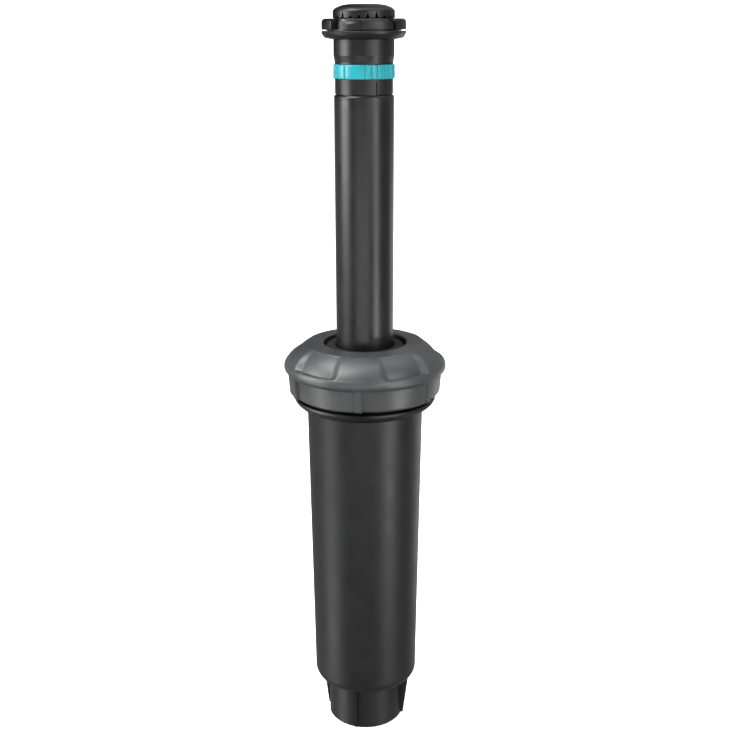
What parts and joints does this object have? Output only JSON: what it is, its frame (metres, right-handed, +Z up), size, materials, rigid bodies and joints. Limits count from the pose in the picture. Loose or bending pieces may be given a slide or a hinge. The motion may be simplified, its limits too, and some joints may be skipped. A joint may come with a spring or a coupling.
{
  "type": "pop up sprinkler",
  "caption": "Pop-up lawn sprinkler: buried case with threaded inlet, grey screw cap, sprung telescopic riser and rotating multi-stream nozzle with range and arc rings.",
  "frame": {"origin": "centre of the inlet socket's lower face, at the bottom of the object", "axes": "+Z up along the riser's axis, towards the nozzle; the front, with the nozzle's open arc, faces -Y; +X to the right seen from the front"},
  "size_m": [0.056, 0.056, 0.2555],
  "materials": {
    "case_plastic": "satin moulded black polypropylene",
    "cap_plastic": "satin moulded mid grey plastic",
    "rubber": "matt black rubber",
    "inner_plastic": "plain moulded acetal",
    "seal_rubber": "matt dark grey soft seal",
    "spring_steel": "drawn stainless wire",
    "riser_plastic": "satin moulded black plastic",
    "screen_steel": "fine woven screen",
    "nozzle_plastic": "satin moulded black plastic",
    "turquoise_plastic": "semi gloss turquoise plastic",
    "ramp_plastic": "smooth moulded black plastic",
    "deflector_plastic": "satin moulded black plastic",
    "bush_plastic": "natural acetal",
    "shaft_steel": "ground stainless steel"
  },
  "bodies": {
    "case": {"case_body": "case_plastic", "retraction_spring": "spring_steel"},
    "seal_stack": {"seal_retainer": "inner_plastic", "wiper_seal": "seal_rubber", "cap_gasket": "rubber"},
    "cap": {"cap": "cap_plastic"},
    "ratchet": {"ratchet_ring": "inner_plastic"},
    "riser": {"riser_tube": "riser_plastic", "filter_basket": "inner_plastic", "filter_screen": "screen_steel", "nozzle_base": "nozzle_plastic", "nozzle_oring": "rubber", "nozzle_neck": "nozzle_plastic", "nozzle_core": "inner_plastic", "arc_ramp": "ramp_plastic", "deflector_shaft": "shaft_steel", "damper_rotor": "inner_plastic", "shaft_clip": "shaft_steel"},
    "range_control": {"range_ring": "turquoise_plastic", "throttle_disc": "inner_plastic"},
    "arc_control": {"arc_ring": "nozzle_plastic"},
    "turret": {"deflector": "deflector_plastic", "bearing_bush": "bush_plastic", "damper_seal": "rubber", "deflector_lid": "deflector_plastic"}
  },
  "joints": [
    {"name": "riser_pop", "type": "slide", "parent": "case", "child": "ratchet", "axis": [0, 0, 1], "range_m": [-0.1, 0], "deforming": ["retraction_spring"]},
    {"name": "riser_turn", "type": "hinge", "parent": "ratchet", "child": "riser", "pos_m": [0, 0, 0.1253], "axis": [0, 0, 1], "continuous": true},
    {"name": "cap_rise", "type": "slide", "parent": "case", "child": "seal_stack", "axis": [0, 0, 1], "range_m": [0, 0.0045]},
    {"name": "cap_unscrew", "type": "hinge", "parent": "seal_stack", "child": "cap", "pos_m": [0, 0, 0.135], "axis": [0, 0, 1], "range_deg": [0, 540]},
    {"name": "range_set", "type": "hinge", "parent": "riser", "child": "range_control", "pos_m": [0, 0, 0.2348], "axis": [0, 0, 1], "range_deg": [0, 60]},
    {"name": "arc_set", "type": "hinge", "parent": "riser", "child": "arc_control", "pos_m": [0, 0, 0.249], "axis": [0, 0, 1], "range_deg": [-85, 270]},
    {"name": "deflector_spin", "type": "hinge", "parent": "riser", "child": "turret", "pos_m": [0, 0, 0.2516], "axis": [0, 0, 1], "continuous": true}
  ],
  "couplings": [
    {"joint": "cap_rise", "follows": "cap_unscrew", "m_per_rad": 0.00047746}
  ]
}
